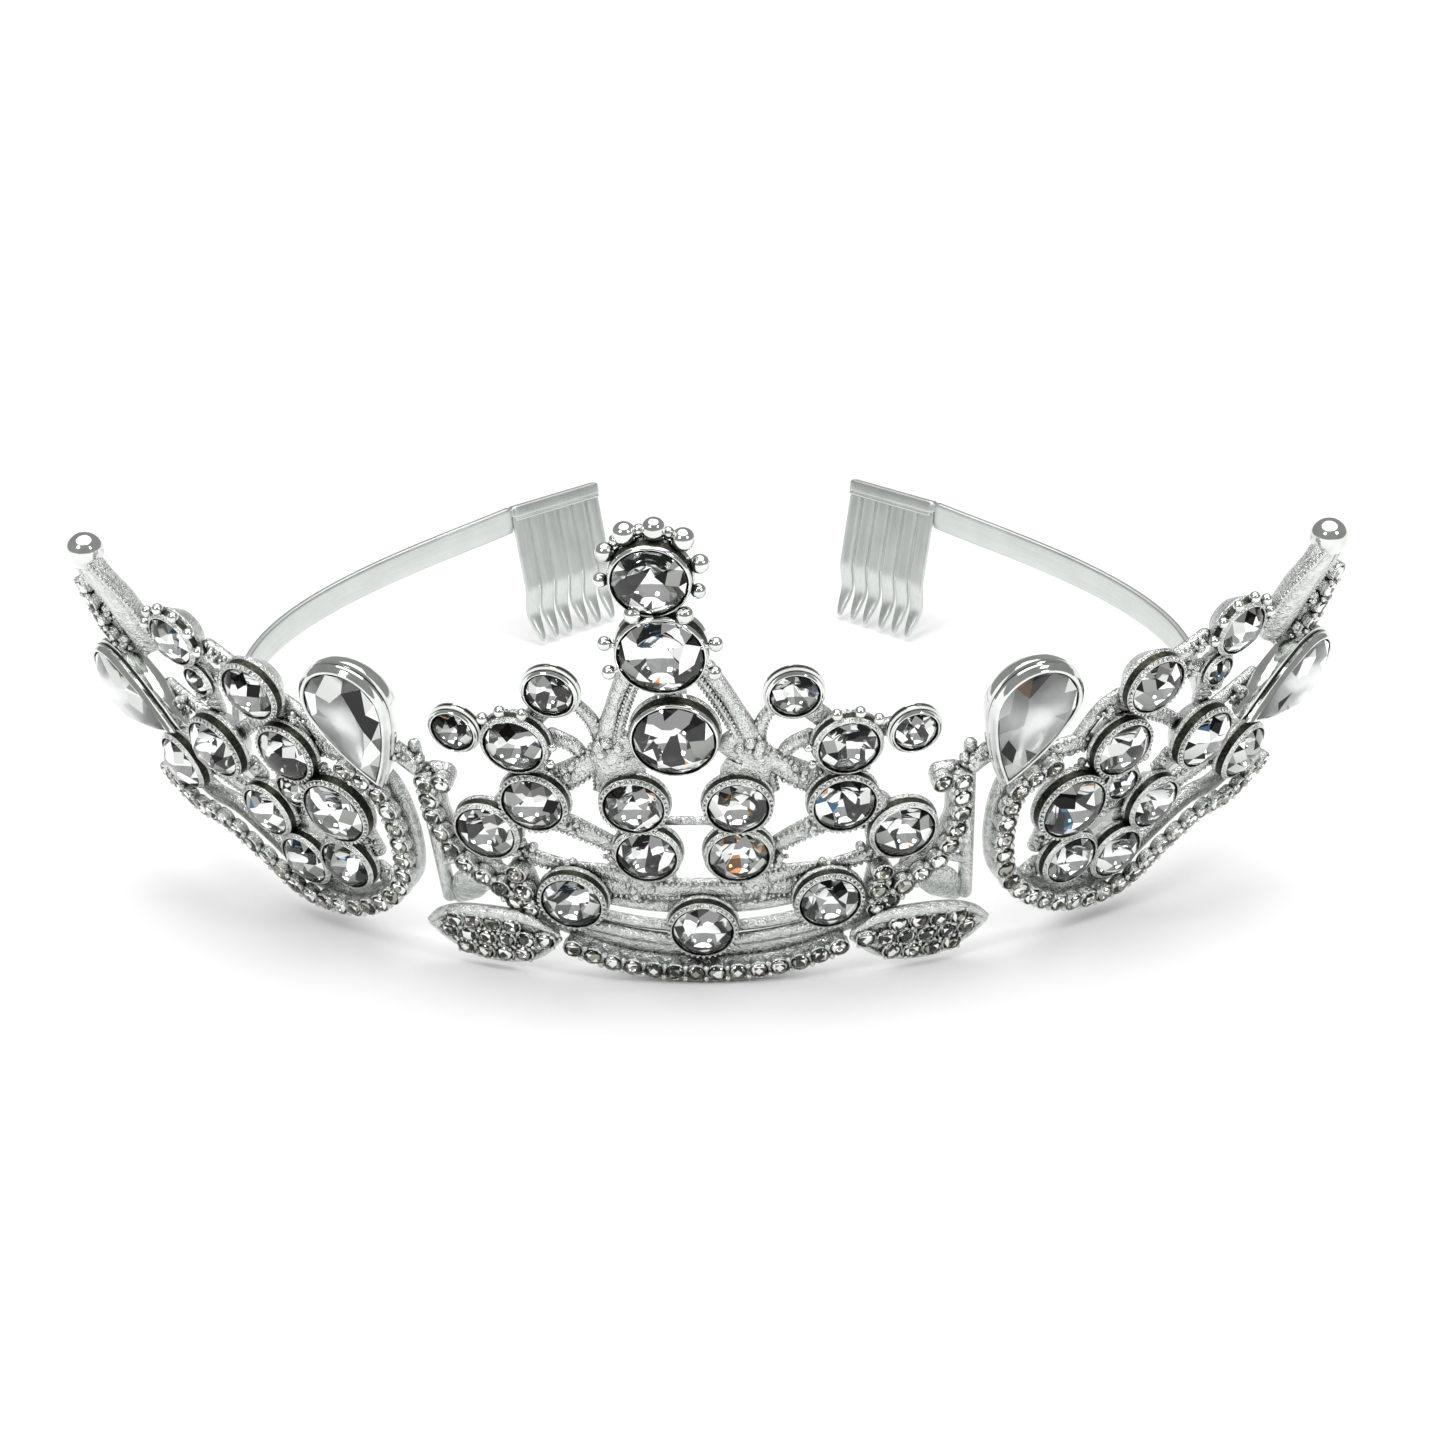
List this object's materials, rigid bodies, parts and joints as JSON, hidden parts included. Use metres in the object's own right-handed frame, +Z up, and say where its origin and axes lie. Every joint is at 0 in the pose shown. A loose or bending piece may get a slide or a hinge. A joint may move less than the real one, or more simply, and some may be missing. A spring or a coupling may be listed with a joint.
{
  "type": "bridal tiara",
  "caption": "Silver-plated bridal tiara: openwork front set with round and pear glass stones, sprung open band with a hair comb at each end.",
  "frame": {"origin": "middle of the bounding box footprint, on the surface the tiara rests on", "axes": "+X to the viewer's right across the front, +Y from the front to the combs, +Z up"},
  "size_m": [0.1342, 0.1202, 0.0536],
  "materials": {
    "silver": "polished silver plating with milgrain edges",
    "satin_silver": "satin silver plating, lightly brushed",
    "clear_stone": "faceted clear glass with a mirror foil back",
    "smoky_stone": "small faceted glass stones, faintly champagne"
  },
  "bodies": {
    "root": {"centre_frame": "silver", "bottom_stone_row": "smoky_stone", "stone_crest": "clear_stone", "stone_neck": "clear_stone", "stone_heart": "clear_stone", "stone_foot": "clear_stone", "scroll_frame_left": "silver", "leaf_left": "silver", "wing_frame_left": "silver", "band_arm_left": "satin_silver", "comb_left": "satin_silver", "scroll_stone_row_left": "smoky_stone", "leaf_stone_row_left": "smoky_stone", "wing_stone_row_left": "smoky_stone", "stone_pair_upper_left": "clear_stone", "stone_pair_lower_left": "clear_stone", "stone_swag_end_left": "clear_stone", "stone_branch_top_left": "clear_stone", "stone_branch_crown_left": "clear_stone", "stone_branch_side_left": "clear_stone", "stone_branch_inner_left": "clear_stone", "stone_branch_outer_left": "clear_stone", "stone_wing_main_left": "clear_stone", "stone_wing_low_left": "clear_stone", "stone_wing_base_left": "clear_stone", "stone_wing_inner_left": "clear_stone", "stone_wing_upper_left": "clear_stone", "stone_wing_top_left": "clear_stone", "stone_wing_middle_left": "clear_stone", "stone_wing_outer_left": "clear_stone", "stone_wing_crown_left": "clear_stone", "pear_scroll_left": "clear_stone", "pear_wing_left": "clear_stone", "scroll_frame_right": "silver", "leaf_right": "silver", "wing_frame_right": "silver", "band_arm_right": "satin_silver", "comb_right": "satin_silver", "scroll_stone_row_right": "smoky_stone", "leaf_stone_row_right": "smoky_stone", "wing_stone_row_right": "smoky_stone", "stone_pair_upper_right": "clear_stone", "stone_pair_lower_right": "clear_stone", "stone_swag_end_right": "clear_stone", "stone_branch_top_right": "clear_stone", "stone_branch_crown_right": "clear_stone", "stone_branch_side_right": "clear_stone", "stone_branch_inner_right": "clear_stone", "stone_branch_outer_right": "clear_stone", "stone_wing_main_right": "clear_stone", "stone_wing_low_right": "clear_stone", "stone_wing_base_right": "clear_stone", "stone_wing_inner_right": "clear_stone", "stone_wing_upper_right": "clear_stone", "stone_wing_top_right": "clear_stone", "stone_wing_middle_right": "clear_stone", "stone_wing_outer_right": "clear_stone", "stone_wing_crown_right": "clear_stone", "pear_scroll_right": "clear_stone", "pear_wing_right": "clear_stone"}
  },
  "joints": []
}
